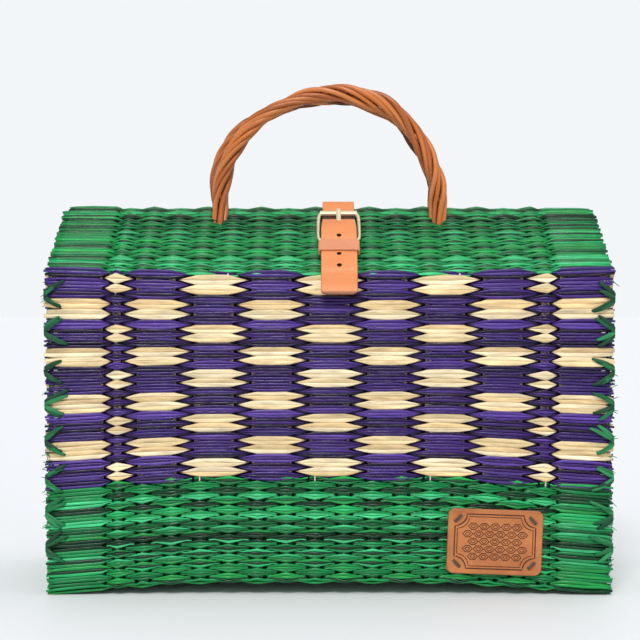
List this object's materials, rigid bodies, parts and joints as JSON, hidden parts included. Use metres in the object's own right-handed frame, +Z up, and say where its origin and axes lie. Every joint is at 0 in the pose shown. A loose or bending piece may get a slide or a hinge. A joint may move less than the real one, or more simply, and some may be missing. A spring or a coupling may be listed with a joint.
{
  "type": "basket box bag",
  "caption": "Rigid woven reed box bag with a tent-shaped two-flap lid, twisted willow handles and a buckled leather strap.",
  "frame": {"origin": "middle of the base, on the floor", "axes": "+X along the bag to the right seen from the front, -Y out of the front wall, +Z up"},
  "size_m": [0.4062, 0.16, 0.3694],
  "materials": {
    "woven_reed": "satin",
    "green_twine": "satin",
    "willow": "satin",
    "pale_twine": "matte",
    "strap_leather": "satin",
    "label_leather": "matte",
    "thread": "matte",
    "pale_brass": "polished"
  },
  "bodies": {
    "basket": {"body_mat": "woven_reed", "left_end_mat": "woven_reed", "right_end_mat": "woven_reed", "left_front_lacing": "green_twine", "left_back_lacing": "green_twine", "right_front_lacing": "green_twine", "right_back_lacing": "green_twine", "left_base_lacing": "green_twine", "right_base_lacing": "green_twine", "label": "label_leather", "label_stitch_1": "thread", "label_stitch_2": "thread", "label_stitch_3": "thread", "label_stitch_4": "thread"},
    "front_lid": {"front_flap": "woven_reed", "front_handle_strand_1": "willow", "front_handle_strand_2": "willow", "front_handle_strand_3": "willow", "front_handle_strand_4": "willow", "front_left_tie": "pale_twine", "front_right_tie": "pale_twine", "chape": "strap_leather", "chape_stitching": "thread", "keeper": "strap_leather"},
    "back_lid": {"back_flap": "woven_reed", "back_handle_strand_1": "willow", "back_handle_strand_2": "willow", "back_handle_strand_3": "willow", "back_handle_strand_4": "willow", "back_left_tie": "pale_twine", "back_right_tie": "pale_twine", "strap": "strap_leather", "strap_stitching": "thread"},
    "frame": {"buckle_frame": "pale_brass"},
    "prong": {"buckle_prong": "pale_brass"}
  },
  "joints": [
    {"name": "front_flap_hinge", "type": "hinge", "parent": "basket", "child": "front_lid", "pos_m": [0, -0.0725, 0.229], "axis": [1, 0, 0], "range_deg": [0, 105], "deforming": ["strap"]},
    {"name": "back_flap_hinge", "type": "hinge", "parent": "basket", "child": "back_lid", "pos_m": [0, 0.0725, 0.229], "axis": [-1, 0, 0], "range_deg": [0, 105], "deforming": ["strap"]},
    {"name": "buckle_frame_hinge", "type": "hinge", "parent": "front_lid", "child": "frame", "pos_m": [0.007, -0.04761, 0.25377], "axis": [1, 0, 0], "range_deg": [0, 75]},
    {"name": "prong_hinge", "type": "hinge", "parent": "frame", "child": "prong", "pos_m": [0.007, -0.04761, 0.25377], "axis": [1, 0, 0], "range_deg": [0, 45]}
  ]
}
